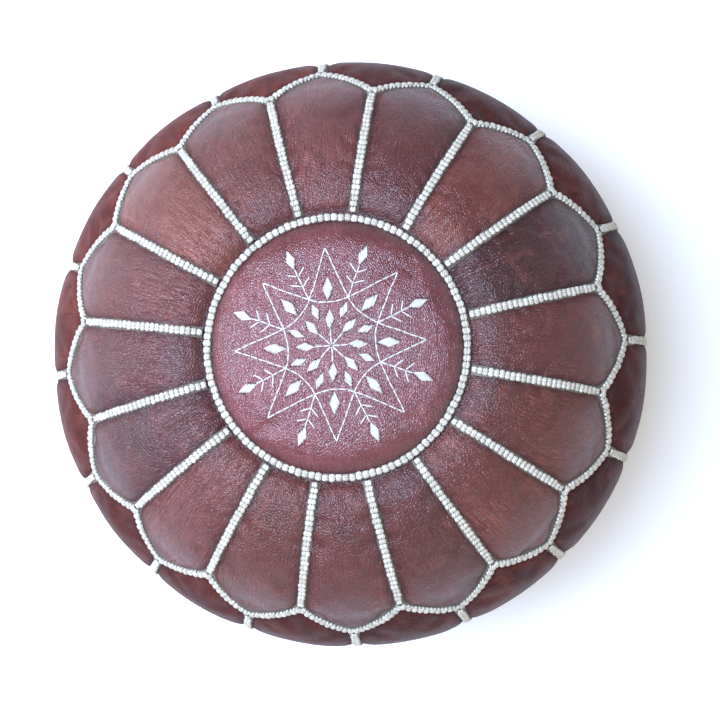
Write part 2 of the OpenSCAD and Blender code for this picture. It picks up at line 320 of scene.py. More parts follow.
skin = new_mesh("skin", skin_points, grid_faces(len(row_run), COLUMNS, True))
swollen_skin = stuff(skin, pinned.ravel(), SKIN_PRESSURE, SKIN_GROWTH, SKIN_MOST)
swollen_skin = swollen_skin.reshape(skin_points.shape)
bpy.data.objects.remove(skin)

# %% [markdown]
# Leather under a braid is gathered: each pull of the thread draws it in, and short puckers
# run off the seam and die out. They are too fine for the simulation's sheet, so they are
# added as soft waves that run across the seam and fade with the distance from it. Larger, slow
# waves stand for lumps in the stuffing.

# %% Add puckers and lumps, and set the skin down on the floor
PUCKER = 0.75 * mm
PUCKER_PITCH = 8 * mm
PUCKER_REACH = 13 * mm
PUCKER_FADE = 30 * mm
SEAM_CALM = 8 * mm
LUMP = 1.1 * mm
LUMP_PITCH = 70 * mm


def wave(x, y, z=0.0):
    return noise.noise(Vector((x, y, z)))


across_run = column_angle[None, :] * radius
waves = np.zeros(radius.shape)
for (j, c), d in np.ndenumerate(seam_distance):
    k = c // (2 * HALF)
    by_side = wave(row_run[j, c] / PUCKER_PITCH, k * 3.7, beside[j, c] / PUCKER_FADE)
    by_side *= math.exp(-beside[j, c] / PUCKER_REACH)
    by_end = wave(across_run[j, c] / PUCKER_PITCH, k * 5.1, endways[j, c] / PUCKER_FADE)
    by_end *= math.exp(-endways[j, c] / PUCKER_REACH)
    spot = Vector(plain[j, c]) / LUMP_PITCH
    away = 1 - math.exp(-(d / SEAM_CALM) ** 2)
    waves[j, c] = away * (PUCKER * 1.6 * (by_side + by_end) + LUMP * noise.noise(spot))
swollen_skin = swollen_skin + normals * waves[..., None]
swollen_skin[..., 2] = np.maximum(swollen_skin[..., 2], 0.0)
skin_spots = swollen_skin.reshape(-1, 3)
print("skin spans", np.round(skin_spots.min(axis=0), 4), np.round(skin_spots.max(axis=0), 4))

# %% [markdown]
# ## Cutting the skin into its panels
#
# Each panel is its own piece of leather, 1.5 mm thick. It carries a flat map, across and along
# the panel in metres, so that the grain can run along the hide, and three attributes: how near
# a seam is, how light the hide is that it was cut from, and how brown its dye came out. On the
# side panels the lightness also carries painted light: lighter towards the lamps on the left.

# %% Finish a leather panel
LEATHER_T = 1.5 * mm


def deselect():
    bpy.ops.object.select_all(action="DESELECT")


def apply_modifiers(piece):
    deselect()
    piece.select_set(True)
    bpy.context.view_layer.objects.active = piece
    for modifier in list(piece.modifiers):
        bpy.ops.object.modifier_apply(modifier=modifier.name)


def write_point_values(mesh, name, values):
    layer = mesh.attributes.new(name, "FLOAT", "POINT")
    layer.data.foreach_set("value", np.ascontiguousarray(np.ravel(values), np.float32))


def leather_panel(name, points, distance, flat_map, hide, warmth=0.4, smooth=1):
    """A block of the skin as a closed piece of leather with its map and attributes."""
    rows, columns = distance.shape
    piece = new_mesh(name, points, grid_faces(rows, columns, False))
    mesh = piece.data
    write_point_values(mesh, "seam_distance", distance / mm)
    write_point_values(mesh, "hide", np.full(distance.shape, hide))
    write_point_values(mesh, "warmth", np.full(distance.shape, warmth))
    uv = mesh.uv_layers.new(name="flat")
    corner = np.zeros(len(mesh.loops), np.int32)
    mesh.loops.foreach_get("vertex_index", corner)
    uv.data.foreach_set("uv", np.ascontiguousarray(flat_map.reshape(-1, 2)[corner].ravel(), np.float32))
    soften = piece.modifiers.new("soften", "SUBSURF")
    soften.levels = soften.render_levels = smooth
    thicken = piece.modifiers.new("thickness", "SOLIDIFY")
    thicken.thickness = LEATHER_T
    thicken.offset = -1
    apply_modifiers(piece)
    mesh = piece.data
    mesh.shade_smooth()
    return piece


def patch(first_row, last_row, first_column, last_column):
    """Points, seam distances and flat map of a block of the skin."""
    rows = np.arange(first_row, last_row + 1)
    columns = np.arange(first_column, last_column + 1)
    turns = columns // COLUMNS
    columns = columns % COLUMNS
    block = np.ix_(rows, columns)
    angle = column_angle[columns] + 2 * np.pi * turns
    across = (angle - angle.mean())[None, :] * radius[block]
    return swollen_skin[block], seam_distance[block], np.stack([across, row_run[block]], axis=-1)


# %% Cut all the petals and side panels
# How light each petal's hide is, and how far from plum (0) to brown (1), counted round from the
# right: the maker mixes hides.
PETAL_HIDES = [0.40, 0.02, 0.60, 0.40, 0.58, 0.50, 0.72, 0.52,
               0.40, 0.30, 0.55, 0.44, 0.46, 0.34, 0.55, 0.42]
PETAL_WARMTH = [0.7, 0.3, 0.9, 0.3, 0.2, 0.5, 0.8, 0.5, 0.1, 0.0, 0.3, 0.9, 0.5, 0.5, 0.8, 1.0]
# The side panels' lightness: partly each hide's own tone, partly painted light, lighter towards the lamps on
# the left and darker on the right
FLANK_HIDES_AND_PAINTED_LIGHT = [0.20, 0.14, 0.25, 0.16, 0.30, 0.42, 0.48, 0.52,
               0.45, 0.36, 0.30, 0.26, 0.22, 0.12, 0.20, 0.16]
FLANK_WARMTH = 0.8
UNDERSIDE_HIDE = 0.25
MEDALLION_HIDE = 0.62
leather_pieces = []
for k in range(PETALS):
    first = k * 2 * HALF
    number = f"{k + 1:02d}"
    petal = leather_panel(f"petal_{number}", *patch(0, EDGE_ROW, first, first + 2 * HALF), PETAL_HIDES[k],
                          PETAL_WARMTH[k])
    flank = leather_panel(f"flank_{number}", *patch(EDGE_ROW, FOOT_ROW, first - HALF, first + HALF),
                          FLANK_HIDES_AND_PAINTED_LIGHT[k], FLANK_WARMTH)
    base = leather_panel(f"base_{number}", *patch(FOOT_ROW, LAST_ROW, first, first + 2 * HALF),
                         UNDERSIDE_HIDE)
    for piece, node, slot in ((petal, "top_petal_", "petal_leather"), (flank, "side_panel_", "side_leather"),
                              (base, "bottom_petal_", "base_leather")):
        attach(piece, "pouf")
        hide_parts(node + number)
        leather_pieces.append(piece)
print(len(leather_pieces), "panels cut")

# %% [markdown]
# ## The medallion
#
# The round in the middle is one disc of leather. It is laid out as a square grid pressed into
# a circle, because a grid of rings would gather at the middle and pinch there. It is blown up
# in the same way, and its rim is sewn down under the ring braid.

# %% Make the medallion
GRID = 48


def round_grid(cells):
    """A square grid of points pressed into the unit circle."""
    u, v = np.meshgrid(np.linspace(-1, 1, cells + 1), np.linspace(-1, 1, cells + 1), indexing="ij")
    return u * np.sqrt(1 - v * v / 2), v * np.sqrt(1 - u * u / 2)


def dome_surface(x, y):
    """Points and outward normals of the top's profile over flat positions."""
    r = np.hypot(x, y)
    _, z, nr, nz = on_profile(np.interp(r, crown[:, 0], run[: len(crown)]))
    share = np.divide(1, r, out=np.zeros_like(r), where=r > 1e-9)
    return np.stack([x, y, z], axis=-1), np.stack([nr * x * share, nr * y * share, nz], axis=-1)


gx, gy = round_grid(GRID)
gx, gy = gx * RING_R, gy * RING_R
rim_distance = np.maximum(RING_R - np.hypot(gx, gy), 0)
dome_points, dome_normals = dome_surface(gx, gy)
rim_sink = START_INSET + SEAM_SINK * np.exp(-((rim_distance / SINK_WIDTH) ** 2))
dome_points = dome_points - dome_normals * rim_sink[..., None]
dome = new_mesh("dome", dome_points, grid_faces(GRID + 1, GRID + 1, False))
on_rim = (rim_distance < 1e-6).ravel()
swollen_dome = stuff(dome, on_rim, DOME_PRESSURE, DOME_GROWTH, DOME_MOST)
dome_points = swollen_dome.reshape(dome_points.shape)
bpy.data.objects.remove(dome)
rim_angle = np.arctan2(gy, gx)
for index, d in np.ndenumerate(rim_distance):
    spot = Vector(dome_points[index])
    puckers = PUCKER * math.exp(-d / PUCKER_REACH) * wave(RING_R * rim_angle[index] / PUCKER_PITCH, 9.1)
    away = 1 - math.exp(-(d / SEAM_CALM) ** 2)
    lumps = LUMP * noise.noise(spot / LUMP_PITCH)
    dome_points[index] += dome_normals[index] * away * (puckers + lumps)
dome_map = np.stack([gx, gy], axis=-1)
medallion = leather_panel("medallion", dome_points, rim_distance, dome_map, MEDALLION_HIDE)
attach(medallion, "pouf")
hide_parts("top_medallion")
leather_pieces.append(medallion)
print("medallion top at", round(float(dome_points[..., 2].max()), 4))

# %% [markdown]
# ## The disc underneath
#
# The bottom disc is cut in two halves, folded back along the zip. It lies a finger's breadth
# over the floor, so that the zip is never walked on. Each half is a grid that runs from the
# folded edge out to the round seam, and bellies out a little under the weight of the stuffing.

# %% Make the two halves of the disc
slot_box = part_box("zip_teeth")
SLOT_HALF = 7 * mm
SLOT_END = slot_box[1].x
MEET_GAP = 0.15 * mm
SLOT_ROUND = 5 * mm
DISC_SAG, DISC_SAG_REACH = 1.8 * mm, 28 * mm
DISC_LUMP, DISC_LUMP_PITCH = 0.7 * mm, 30 * mm
FOLD_CALM = 6 * mm
# Each half is tucked this far under the round seam, so that no stuffing shows there
DISC_TUCK = 2.6 * mm
DISC_GRID = (64, 20)


def disc_half(side):
    """Grid points from the folded edge to the round seam, their seam distances and flat map."""
    u = np.linspace(-1, 1, DISC_GRID[0] + 1)[None, :]
    v = np.linspace(0, 1, DISC_GRID[1] + 1)[:, None]
    reach_r = DISC_R + DISC_TUCK
    x = reach_r * 0.999 * np.sin(u * np.pi / 2) * np.ones_like(v)
    ends = np.clip((np.abs(x) - SLOT_END) / SLOT_ROUND, 0, 1)
    inner = SLOT_HALF + (MEET_GAP - SLOT_HALF) * ends * ends * (3 - 2 * ends)
    outer = np.sqrt(np.maximum(reach_r ** 2 - x ** 2, 0))
    inner = np.minimum(inner, outer - 0.05 * mm)
    y = inner + (outer - inner) * v
    rim = reach_r - np.hypot(x, y)
    fold = y - inner
    belly = np.clip(np.minimum(rim, fold) / DISC_SAG_REACH, 0, 1)
    z = DISC_Z - DISC_SAG * np.sin(belly * np.pi / 2)
    for index, _ in np.ndenumerate(z):
        lump = wave(x[index] / DISC_LUMP_PITCH, side * y[index] / DISC_LUMP_PITCH, 4.2)
        z[index] += DISC_LUMP * belly[index] * lump
    points = np.stack([x, side * y, z], axis=-1)
    return points, np.minimum(rim, fold + FOLD_CALM), np.stack([x, side * y], axis=-1)


for side, name in ((1, "left"), (-1, "right")):
    facing_down = [part[:, ::side] for part in disc_half(side)]
    half = leather_panel(f"disc_{name}", *facing_down, UNDERSIDE_HIDE)
    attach(half, "pouf")
    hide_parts(f"bottom_disc_{name}")
    leather_pieces.append(half)
    print(half.name, "faces", len(half.data.polygons))

# %% [markdown]
# ## One stitch, and how to sew with it
#
# Every braid is a row of thick cotton stitches. A stitch could be a curve with a bevel, but
# there are thousands, so one is shaped as a small plump mesh and copied. The copies are set
# down by arithmetic: each takes its place, its slant and its size from the seam it is sewn on.
# Each copy keeps its own coordinates as an attribute, so that the thread's twist follows it.

# %% Shape the stitch
def plump_stitch(cuts):
    """A rounded block of unit length, width and height, a little flat underneath."""
    deselect()
    bpy.ops.mesh.primitive_cube_add(size=0.66)
    stitch = bpy.context.object
    bpy.ops.object.mode_set(mode="EDIT")
    bpy.ops.mesh.subdivide(number_cuts=cuts, smoothness=0.9)
    bpy.ops.object.mode_set(mode="OBJECT")
    points = np.array([v.co for v in stitch.data.vertices])
    faces = np.array([list(p.vertices) for p in stitch.data.polygons])
    points /= points.max(axis=0) - points.min(axis=0)
    points[:, 2] = np.where(points[:, 2] < 0, points[:, 2] * 0.7, points[:, 2])
    bpy.data.objects.remove(stitch)
    return points, faces


FULL_STITCH = plump_stitch(2)
SMALL_STITCH = plump_stitch(1)
print("a stitch has", len(FULL_STITCH[1]), "faces, a small one", len(SMALL_STITCH[1]))


# %% Sew stitches into one mesh
class Needlework:
    """Gathers the stitches and ribbons of one piece, then makes its mesh."""

    def __init__(self):
        self.points, self.faces, self.strand, self.tone, self.count = [], [], [], [], 0

    def add(self, points, faces, strand, tone):
        self.points.append(points)
        self.faces.append(faces + self.count)
        self.strand.append(strand)
        self.tone.append(np.full(len(points), tone) if np.isscalar(tone) else tone)
        self.count += len(points)

    def stitch(self, centre, along, up, size, tone, shape=FULL_STITCH):
        """One stitch: size is its length, width and height, along and up its two directions."""
        across = np.cross(up, along)
        across /= np.linalg.norm(across)
        up = np.cross(along, across)
        local = shape[0] * size
        self.add(centre + local @ np.array([along / np.linalg.norm(along), across, up / np.linalg.norm(up)]),
                 shape[1], local / mm + random.random() * 7, tone)

    def finish(self, name):
        piece = new_mesh(name, np.concatenate(self.points), np.concatenate(self.faces))
        mesh = piece.data
        write_point_values(mesh, "tone", np.concatenate(self.tone))
        layer = mesh.attributes.new("strand", "FLOAT_VECTOR", "POINT")
        strand = np.concatenate(self.strand).ravel()
        layer.data.foreach_set("vector", np.ascontiguousarray(strand, np.float32))
        mesh.shade_smooth()
        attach(piece, "pouf")
        print(name, "has", len(mesh.polygons), "faces")
        return piece


# %% Follow a seam
class Seam:
    """A seam line with its outward normals, walked by distance."""

    def __init__(self, points, outward, closed=False):
        if closed:
            points, outward = np.concatenate([points, points[:1]]), np.concatenate([outward, outward[:1]])
        self.points, self.outward = points, outward
        self.run = np.concatenate([[0], np.cumsum(np.linalg.norm(np.diff(points, axis=0), axis=1))])
        self.length = self.run[-1]

    def at(self, s):
        """Point, direction along and direction outwards at distance s."""
        def look(values, where):
            return np.array([np.interp(where, self.run, values[:, i]) for i in range(3)])
        point, up = look(self.points, s), look(self.outward, s)
        along = look(self.points, min(s + 1 * mm, self.length)) - look(self.points, max(s - 1 * mm, 0))
        up /= np.linalg.norm(up)
        along -= up * along.dot(up)
        return point, along / np.linalg.norm(along), up


def skin_seam(rows, columns, closed=False):
    return Seam(plain[rows, columns].reshape(-1, 3), normals[rows, columns].reshape(-1, 3), closed)


# %% Sew a braid along a seam
# Each knot is pulled a little askew (degrees), aside and tight
KNOT_ASKEW, KNOT_ASIDE, KNOT_TIGHT = (-8, 8), (-0.35, 0.35), (0.86, 1.04)
TAPER, TAPER_KNOTS = 0.22, 1.2


def braid(work, seam, pitch, lanes, height, start=0.0, end=None, lift=0.0, tone=0.75, taper=True):
    """Lanes are (offset across the seam, width, slant in degrees, stitches per pitch, shape)."""
    end = seam.length if end is None else end
    cells = max(1, round((end - start) / pitch))
    # All the stitches of a knot share its pull
    knots = [(random.uniform(*KNOT_ASKEW), random.uniform(*KNOT_ASIDE) * mm, random.uniform(*KNOT_TIGHT))
             for _ in range(cells)]
    for offset, width, slant, share, shape in lanes:
        count = round(cells * share)
        length = (end - start) / count
        for i in range(count):
            knot = knots[min(cells - 1, int(i / share))]
            s = start + (i + 0.5) * length
            point, along, up = seam.at(s)
            across = np.cross(up, along)
            near_end = min(i, count - 1 - i) / share
            slim = 1 - TAPER * math.exp(-near_end / TAPER_KNOTS) if taper else 1
            turn = math.radians(slant + knot[0] + random.uniform(-3, 3))
            way = along * math.cos(turn) + across * math.sin(turn)
            centre = point + across * (offset * slim * knot[2] + knot[1]) + up * lift
            size = np.array([length * random.uniform(0.92, 1.0),
                             width * slim * knot[2] * random.uniform(0.95, 1.05),
                             height * random.uniform(0.9, 1.08)])
            work.stitch(centre, way, up, size, tone + random.uniform(-0.12, 0.12), shape)
    half_width = sum(abs(lane[0]) for lane in lanes) + 0.4 * lanes[0][1]
    ribbon(work, seam, start, end, half_width, lift - 0.35 * height)


RIBBON_STEP = 4 * mm
# The ribbon's tone lies near the thread's dark colour: painted shade between the stitches
RIBBON_PAINTED_SHADE = 0.12


def ribbon(work, seam, start, end, half_width, lift):
    """The flat heart of the braid, coloured dark as painted shade between its stitches."""
    steps = max(2, int((end - start) / RIBBON_STEP))
    section = np.array([[-1, -0.9], [-0.7, 0], [0, 0.15], [0.7, 0], [1, -0.9]])
    rows = []
    for i in range(steps + 1):
        point, along, up = seam.at(start + (end - start) * i / steps)
        across = np.cross(up, along)
        rows.append([point + across * half_width * a + up * (lift + b * mm) for a, b in section])
    points = np.array(rows).reshape(-1, 3)
    strand = np.tile(np.column_stack([section * 3, section[:, 0] * 0]), (steps + 1, 1))
    faces = grid_faces(steps + 1, len(section), False)[:, ::-1]
    strand = strand + np.repeat(np.arange(steps + 1), len(section))[:, None] * [4, 0, 0]
    work.add(points, faces, strand, RIBBON_PAINTED_SHADE)


# %% [markdown]
# ## The braids on the seams
#
# The maker lays a different braid on each kind of seam. Round the medallion runs a row of square
# knots. The radial seams and the side seams carry a flat plait: two lanes of stitches that lean
# together, so close that each pair reads as one wide knot. The pointed edges have a row of round
# stitches with a thin rope beside it. Each braid stands where its CAD solid stands.

# %% Sew the ring braid and the petals' braids
def plait(aside, width, slant):
    """Two lanes of full stitches, one on each side of the seam, that lean together."""
    return [(aside, width, slant, 1, FULL_STITCH), (-aside, width, -slant, 1, FULL_STITCH)]


# A braid beds down into the leather, which swells up beside it
BRAID_LIFT = -0.8 * mm
RING_PITCH, RING_HEIGHT = 5.7 * mm, 3.6 * mm
SEAM_PITCH, SEAM_HEIGHT, FOOT_SEAM_HEIGHT = 4.9 * mm, 3.3 * mm, 3.0 * mm
EDGE_PITCH, EDGE_HEIGHT, FOOT_EDGE_HEIGHT = 5.8 * mm, 3.7 * mm, 3.1 * mm
SIDE_PITCH, SIDE_HEIGHT = 4.7 * mm, 2.7 * mm
# The side braids are a little lighter than the rest as painted light, since they face sideways away from the
# lamps; the underside's braids are darker
SIDE_TONE_AND_PAINTED_LIGHT, FOOT_TONE = 0.8, 0.6
RING_LANES = plait(1.2 * mm, 4.2 * mm, 4)
SEAM_LANES = plait(1.4 * mm, 4.4 * mm, 9)
EDGE_LANES = [(-0.5 * mm, 6.3 * mm, 6, 1, FULL_STITCH), (2.7 * mm, 2.0 * mm, 20, 1.5, SMALL_STITCH)]
JUNCTION_GAP = 3.4 * mm
RING_GAP = 4.6 * mm

ring_work = Needlework()
ring_seam = skin_seam(0, slice(None), True)
braid(ring_work, ring_seam, RING_PITCH, RING_LANES, RING_HEIGHT, lift=BRAID_LIFT, taper=False)
ring_braid = ring_work.finish("ring_braid")
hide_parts("top_ring_braid")

petal_work = Needlework()
for k in range(PETALS):
    column = k * 2 * HALF
    seam = skin_seam(slice(0, EDGE_ROW + 1), column)
    braid(petal_work, seam, SEAM_PITCH, SEAM_LANES, SEAM_HEIGHT, RING_GAP, seam.length - JUNCTION_GAP,
          BRAID_LIFT)
    edge = skin_seam(EDGE_ROW, np.arange(column, column + 2 * HALF + 1) % COLUMNS)
    braid(petal_work, edge, EDGE_PITCH, EDGE_LANES, EDGE_HEIGHT, lift=BRAID_LIFT, taper=False)
petal_braids = petal_work.finish("petal_braids")
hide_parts("top_petal_braids")

# %% Sew the side braids and the underside's braids
SIDE_LANES = plait(1.55 * mm, 4.5 * mm, 8)
BRAID_END_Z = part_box("bottom_braids")[0].z + 4.5 * mm

side_work = Needlework()
foot_work = Needlework()
for k in range(PETALS):
    column = k * 2 * HALF
    seam = skin_seam(slice(EDGE_ROW, FOOT_ROW + 1), column + HALF)
    braid(side_work, seam, SIDE_PITCH, SIDE_LANES, SIDE_HEIGHT, JUNCTION_GAP, seam.length - JUNCTION_GAP,
          tone=SIDE_TONE_AND_PAINTED_LIGHT)
    edge = skin_seam(FOOT_ROW, np.arange(column, column + 2 * HALF + 1) % COLUMNS)
    braid(foot_work, edge, EDGE_PITCH, EDGE_LANES, FOOT_EDGE_HEIGHT, tone=FOOT_TONE, taper=False)
    seam = skin_seam(slice(FOOT_ROW, LAST_ROW + 1), column)
    # The braid stops where the leather comes down to the floor
    clear = seam.run[np.argmax(seam.points[:, 2] < BRAID_END_Z)]
    braid(foot_work, seam, SEAM_PITCH, SEAM_LANES, FOOT_SEAM_HEIGHT, JUNCTION_GAP, clear, tone=FOOT_TONE)
side_braids = side_work.finish("side_braids_sewn")
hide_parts("side_braids")
foot_braids = foot_work.finish("foot_braids")
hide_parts("bottom_braids")

# %% [markdown]
# ## The embroidered star
#
# The medallion carries an old eight-pointed star, worked flat in white thread. Lines are rows
# of short running stitches, and every leaf is a lozenge of satin stitches laid side by side,
# each one tugging a small needle hole open at its ends, where the shade in the hole is painted
# as a small dark disc. The stitches are dropped on to the leather from above, so that they
# follow its swell.

# %% Drop points on to the medallion
leather_tree = BVHTree.FromPolygons([v.co for v in medallion.data.vertices],
                                    [p.vertices for p in medallion.data.polygons])
STAR_R = RING_R
STAR_CENTRE = np.array([-2.0 * mm, 0.5 * mm])
STAR_TURN = math.radians(0.5)
star_work = Needlework()
hole_work = Needlework()


def on_leather(x, y):
    """The point of the medallion's face under a flat place, and the face's outward normal."""
    hit, normal, _, _ = leather_tree.ray_cast(Vector((x, y, 1.0)), Vector((0, 0, -1)))
    return np.array(hit), np.array(normal)


def star_point(share, degrees):
    """Flat place at a share of the medallion's radius, turned from the star's first tip."""
    a = STAR_TURN + math.radians(degrees)
    return STAR_CENTRE + STAR_R * share * np.array([math.cos(a), math.sin(a)])


# %% Sew one straight stitch, a running line, and a satin leaf
LINE_STITCH = 7.0 * mm
LINE_THREAD = 1.35 * mm
SATIN_THREAD = 1.15 * mm
HOLE = 0.9 * mm
THREAD_LEAN = math.radians(20)
# Half a leaf's width as a share of its length, and how far one satin stitch lies from the next
LEAF_HALF_WIDTH = 0.21
SATIN_STEP = 0.8 * SATIN_THREAD


def flat_stitch(start, end, thread, tone, share=1.0):
    """A stitch between two flat places, lying on the leather."""
    a, b = (on_leather(*spot) for spot in (start, end))
    way = b[0] - a[0]
    size = np.array([np.linalg.norm(way) * share, thread, thread * 0.62])
    up = (a[1] + b[1]) / 2
    star_work.stitch((a[0] + b[0]) / 2 + up * thread * 0.16, way, up, size, tone, SMALL_STITCH)


# A small dark disc where a needle hole opens: painted shade
def needle_hole(spot):
    point, up = on_leather(*spot)
    side = np.cross(up, [1.0, 0.0, 0.0])
    hole_work.stitch(point, side, up, np.array([HOLE, HOLE, 0.25 * mm]), 0.0, SMALL_STITCH)


def running_line(spots):
    """Running stitches along a line of flat places."""
    spots = np.array(spots)
    along = np.concatenate([[0], np.cumsum(np.hypot(*np.diff(spots, axis=0).T))])
    count = max(1, round(along[-1] / LINE_STITCH))
    marks = np.linspace(0, along[-1], count + 1)
    places = np.column_stack([np.interp(marks, along, spots[:, i]) for i in (0, 1)])
    strays = [[random.uniform(-0.3, 0.3) * mm for _ in "xy"] for _ in places[1:-1]]
    places[1:-1] += np.array(strays).reshape(-1, 2)
    for start, end in zip(places, places[1:]):
        flat_stitch(start, end, LINE_THREAD, random.uniform(0.85, 1.0), 1.12)


def satin_leaf(centre, degrees, length):
    """A skewed lozenge of equal satin stitches, each laid a thread further along its short side."""
    a = STAR_TURN + math.radians(degrees)
    axis, side = np.array([math.cos(a), math.sin(a)]), np.array([-math.sin(a), math.cos(a)])
    half_width = LEAF_HALF_WIDTH * length
    thread_way = axis * half_width / math.tan(THREAD_LEAN) + side * half_width
    short_way = axis * length - thread_way
    leaf_area = abs(thread_way[0] * short_way[1] - thread_way[1] * short_way[0])
    count = round(leaf_area / np.linalg.norm(thread_way) / SATIN_STEP) + 1
    for i in range(count):
        stray = axis * random.uniform(-0.4, 0.4) * mm
        near = centre - axis * length / 2 + short_way * (i / (count - 1)) + stray
        far = near + thread_way
        flat_stitch(near, far, SATIN_THREAD, random.uniform(0.75, 1.0), 1.06)
        for end, way in ((near, -0.06), (far, 0.06)):
            needle_hole(end + thread_way * way)


# %% Work the star
def curve_through(spots, steps):
    """A smooth line through flat places, each stretch drawn as a Catmull-Rom curve."""
    spots = [2 * spots[0] - spots[1], *spots, 2 * spots[-1] - spots[-2]]
    line = []
    for p, q, r, s in zip(spots, spots[1:], spots[2:], spots[3:]):
        for t in np.linspace(0, 1, steps, endpoint=False):
            line.append(0.5 * (2 * q + (r - p) * t + (2 * p - 5 * q + 4 * r - s) * t ** 2
                               + (3 * q - p - 3 * r + s) * t ** 3))
    return line + [spots[-2]]


# Places along a ray are shares of the medallion's radius
TIP, NODE, WAIST = 0.73, 0.385, 0.33
RAY_START, RAY_END = 0.01, 0.125
FERN_END, FERN_BARBS = 0.645, (0.495, 0.58)
BARB, BARB_LEAN = 10.5 * mm, (52, 60)
HEART_LEAF, MIDDLE_LEAF = (0.2, 16.5 * mm), (0.281, 14.5 * mm)
OUTER_LEAF, FERN_LEAF = (0.432, 19.5 * mm), (0.722, 17.8 * mm)


def leaf_on_ray(leaf, degrees):
    share, length = leaf
    satin_leaf(star_point(share, degrees), degrees, length)


tips = [(TIP + random.uniform(-0.02, 0.02), 45 * k + random.uniform(-1.5, 1.5)) for k in range(8)]
for k in range(8):
    tip, between = tips[k][1], 45 * k + 22.5
    next_tip = (tips[(k + 2) % 8][0], tips[(k + 2) % 8][1] + (360 if k > 5 else 0))
    arc = [star_point(*tips[k]), star_point(NODE, 45 * k + 22.5), star_point(WAIST, 45 * k + 45),
           star_point(NODE, 45 * k + 67.5), star_point(*next_tip)]
    running_line(curve_through(arc, 8))
    running_line([star_point(RAY_START, tip), star_point(RAY_END, tip)])
    leaf_on_ray(HEART_LEAF, tip)
    leaf_on_ray(MIDDLE_LEAF, between)
    leaf_on_ray(OUTER_LEAF, tip)
    running_line([star_point(NODE, between), star_point(FERN_END, between)])
    for base in FERN_BARBS:
        for lean in (-1, 1):
            foot = star_point(base, between)
            a = STAR_TURN + math.radians(between + lean * random.uniform(*BARB_LEAN))
            barb = BARB * random.uniform(0.88, 1.08) * np.array([math.cos(a), math.sin(a)])
            flat_stitch(foot, foot + barb, LINE_THREAD, random.uniform(0.85, 1.0))
    leaf_on_ray(FERN_LEAF, between)
star = star_work.finish("embroidery")
# Dark discs of painted shade in the needle holes
holes = hole_work.finish("needle_holes")

# %% [markdown]
# ## The zip underneath
#
# The zip's metal is true to size in the CAD model: teeth, slider and pull keep their shapes
# and only get a finish. The tapes are woven, so they are made again as thin cloth that ripples
# where the stitching holds it. Two rows of stitches run along the folded edges of the disc.

# %% Weave the tapes and stitch the folded edges
tape_low, tape_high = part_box("zip_tapes")
TAPE_INNER = 3.1 * mm
TAPE_T = 0.6 * mm
TAPE_GRID = (9, 73)
TAPE_RIPPLE, TAPE_RIPPLE_PITCH = 0.18 * mm, 9 * mm
tape_pieces = []
for side, name in ((1, "left"), (-1, "right")):
    x = np.linspace(tape_low.x, tape_high.x, TAPE_GRID[1])[None, :] * np.ones((TAPE_GRID[0], 1))
    y = np.linspace(TAPE_INNER, tape_high.y, TAPE_GRID[0])[:, None] * np.ones((1, TAPE_GRID[1]))
    outwards = (y - TAPE_INNER) / (tape_high.y - TAPE_INNER)
    ripple = TAPE_RIPPLE * np.sin(x / TAPE_RIPPLE_PITCH) * outwards
    points = np.stack([x, side * y, (tape_low.z + tape_high.z) / 2 - TAPE_T / 2 + ripple], axis=-1)
    points = points[:, ::side]
    tape = new_mesh(f"zip_tape_{name}", points, grid_faces(*TAPE_GRID, False))
    thicken = tape.modifiers.new("thickness", "SOLIDIFY")
    thicken.thickness = TAPE_T
    thicken.offset = -1
    apply_modifiers(tape)
    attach(tape, "pouf")
    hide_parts("zip_tapes")
    tape_pieces.append(tape)

FOLD_STITCH = 3.4 * mm
HEM_THREAD = (0.8 * mm, 0.7 * mm)
HEM_ROWS = (2.2 * mm, 5.2 * mm)
HEM_DEPTH, HEM_SLOPE = 0.35 * mm, 0.12
hem_work = Needlework()
for side in (1, -1):
    for inset in HEM_ROWS:
        count = int(2 * SLOT_END / FOLD_STITCH)
        for i in range(count):
            x = -SLOT_END + (i + 0.5) * FOLD_STITCH
            spot = np.array([x, side * (SLOT_HALF + inset), DISC_Z - HEM_DEPTH - HEM_SLOPE * inset])
            size = np.array([FOLD_STITCH * 0.86, *HEM_THREAD])
            hem_work.stitch(spot, np.array([1.0, 0, 0]), np.array([0, 0, -1.0]), size,
                            random.uniform(0.3, 0.5), SMALL_STITCH)
hem = hem_work.finish("zip_stitching")

# %% [markdown]
# ## The stuffing
#
# Inside is cotton waste, rammed in until the leather is tight. It never shows while the pouf
# is whole, but a part that can be opened should have its inside. Its shape is the leather's
# own, drawn in by a few millimetres, with a hollow over the zip.

# %% Make the stuffing from the inside of the leather
STUFFING_GAP = 4.2 * mm
STUFFING_FLOOR = 2.2 * mm
LID_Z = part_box("zip_slider")[1].z + 0.6 * mm
around_angle = column_angle[::3]
dome_rings = []
for share in np.linspace(0.04, 0.96, 14):
    ring_x, ring_y = share * RING_R * np.cos(around_angle), share * RING_R * np.sin(around_angle)
    hits = [on_leather(*spot) for spot in zip(ring_x, ring_y)]
    dome_rings.append([hit - STUFFING_GAP * normal for hit, normal in hits])
inside = (swollen_skin - normals * STUFFING_GAP)[::2, ::3]
inside[..., 2] = np.maximum(inside[..., 2], STUFFING_FLOOR)
over_zip = []
for share in (0.97, 0.6, 0.25, 0.04):
    hollow_r = share * (DISC_R - 4 * mm)
    over_zip.append(np.stack([hollow_r * np.cos(around_angle), hollow_r * np.sin(around_angle),
                              np.full(around_angle.shape, LID_Z)], axis=-1))
layers = np.concatenate([np.array(dome_rings), inside, np.array(over_zip)])
rings, around = layers.shape[:2]
faces = grid_faces(rings, around, True).tolist()
faces.append(list(range(around)))
faces.append(list(range(rings * around - 1, (rings - 1) * around - 1, -1)))
stuffing = bpy.data.objects.new("stuffing", bpy.data.meshes.new("stuffing"))
stuffing.data.from_pydata(layers.reshape(-1, 3).tolist(), [], faces)
